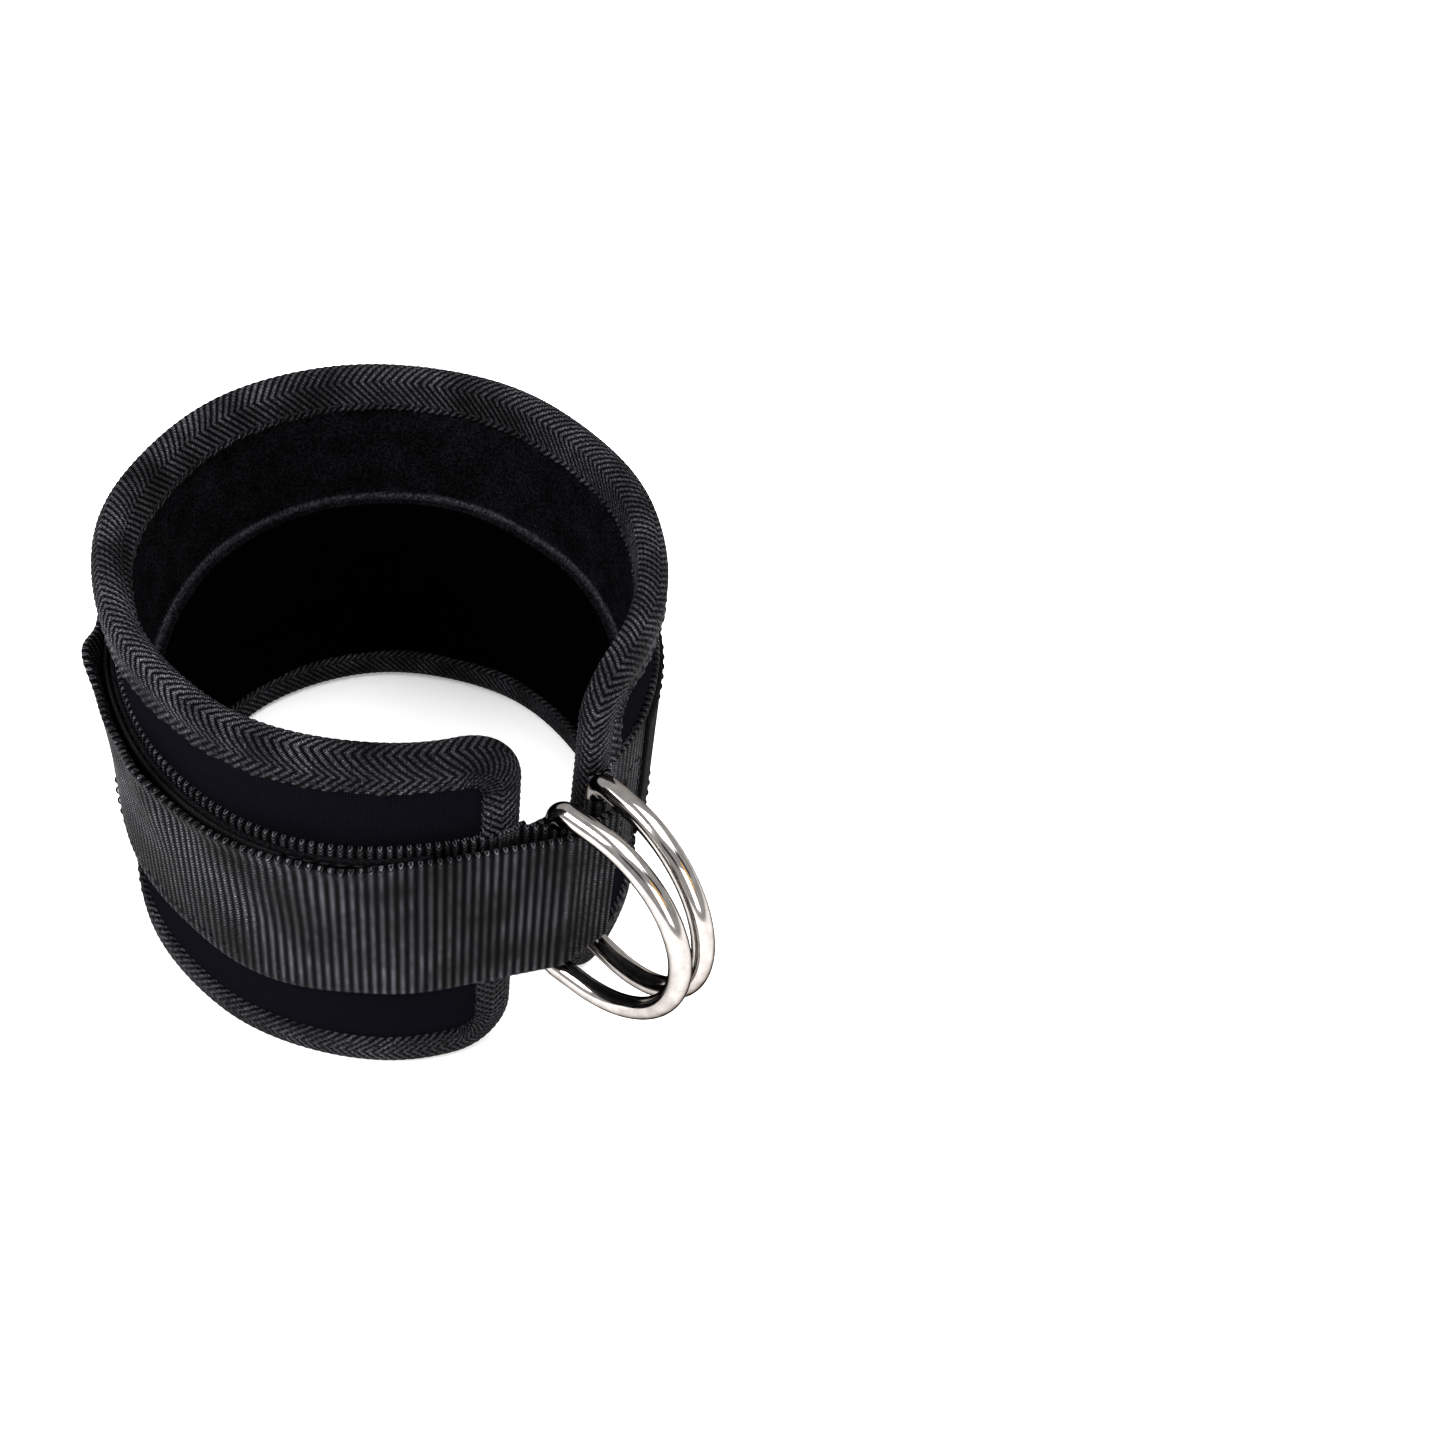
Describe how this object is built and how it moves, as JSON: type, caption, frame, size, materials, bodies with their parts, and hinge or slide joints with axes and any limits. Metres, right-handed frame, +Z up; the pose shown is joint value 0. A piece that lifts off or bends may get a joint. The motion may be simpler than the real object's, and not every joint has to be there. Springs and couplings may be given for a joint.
{
  "type": "ankle cuff",
  "caption": "Padded ankle cuff with bound edges, a sewn webbing strap, a folded-back hook-and-loop tail and D-rings that take a cable, a band or a weight.",
  "frame": {"origin": "On the ankle's axis, level with the cuff's lower edge, which is what it stands on.", "axes": "+X points out through the gap in the cuff, where the D-rings hang. +Y points to the half without the strap tail. +Z points up the leg."},
  "size_m": [0.1638, 0.1258, 0.095],
  "materials": {
    "foam": "matt closed-cell foam",
    "cover_fabric": "smooth matt knit",
    "lining_fabric": "brushed, velvety",
    "binding_tape": "herringbone weave with a slight sheen",
    "webbing": "ribbed weave with a slight sheen",
    "loop_fabric": "fuzzy loops",
    "hook_fabric": "fine stiff hooks",
    "thread": "twisted thread",
    "ring_plating": "polished nickel plate"
  },
  "bodies": {
    "near_half": {"near_foam": "foam", "near_cover": "cover_fabric", "near_lining": "lining_fabric", "near_pad": "lining_fabric", "near_binding": "binding_tape", "near_binding_stitch": "thread", "near_base_strap": "webbing", "near_loop_tape": "loop_fabric", "near_strap_stitch": "thread", "near_ring_loop": "webbing", "near_loop_stitch": "thread", "near_strap_turn": "webbing"},
    "tail": {"strap_tail": "webbing", "hook_tape": "hook_fabric", "tail_stitch": "thread"},
    "near_ring": {"near_ring": "ring_plating"},
    "far_half": {"far_foam": "foam", "far_cover": "cover_fabric", "far_lining": "lining_fabric", "far_pad": "lining_fabric", "far_binding": "binding_tape", "far_binding_stitch": "thread", "far_base_strap": "webbing", "far_loop_tape": "loop_fabric", "far_strap_stitch": "thread", "far_ring_loop": "webbing", "far_loop_stitch": "thread"},
    "far_ring": {"far_ring": "ring_plating"}
  },
  "joints": [
    {"name": "cuff_open", "type": "hinge", "parent": "near_half", "child": "far_half", "pos_m": [-0.06303, -0.00093, 0.0475], "axis": [0, 0, 1], "range_deg": [0, 40], "stiffness_Nm_per_rad": 0.1},
    {"name": "strap_peel", "type": "hinge", "parent": "near_half", "child": "tail", "pos_m": [0.06007, -0.0325, 0.051], "axis": [0, 0, 1], "range_deg": [0, 90], "stiffness_Nm_per_rad": 0.02},
    {"name": "near_ring_swing", "type": "hinge", "parent": "near_half", "child": "near_ring", "pos_m": [0.06474, -0.01049, 0.051], "axis": [0, 0, 1], "range_deg": [-67, 0]},
    {"name": "far_ring_swing", "type": "hinge", "parent": "far_half", "child": "far_ring", "pos_m": [0.06437, 0.00073, 0.051], "axis": [0, 0, 1], "range_deg": [0, 90]}
  ]
}
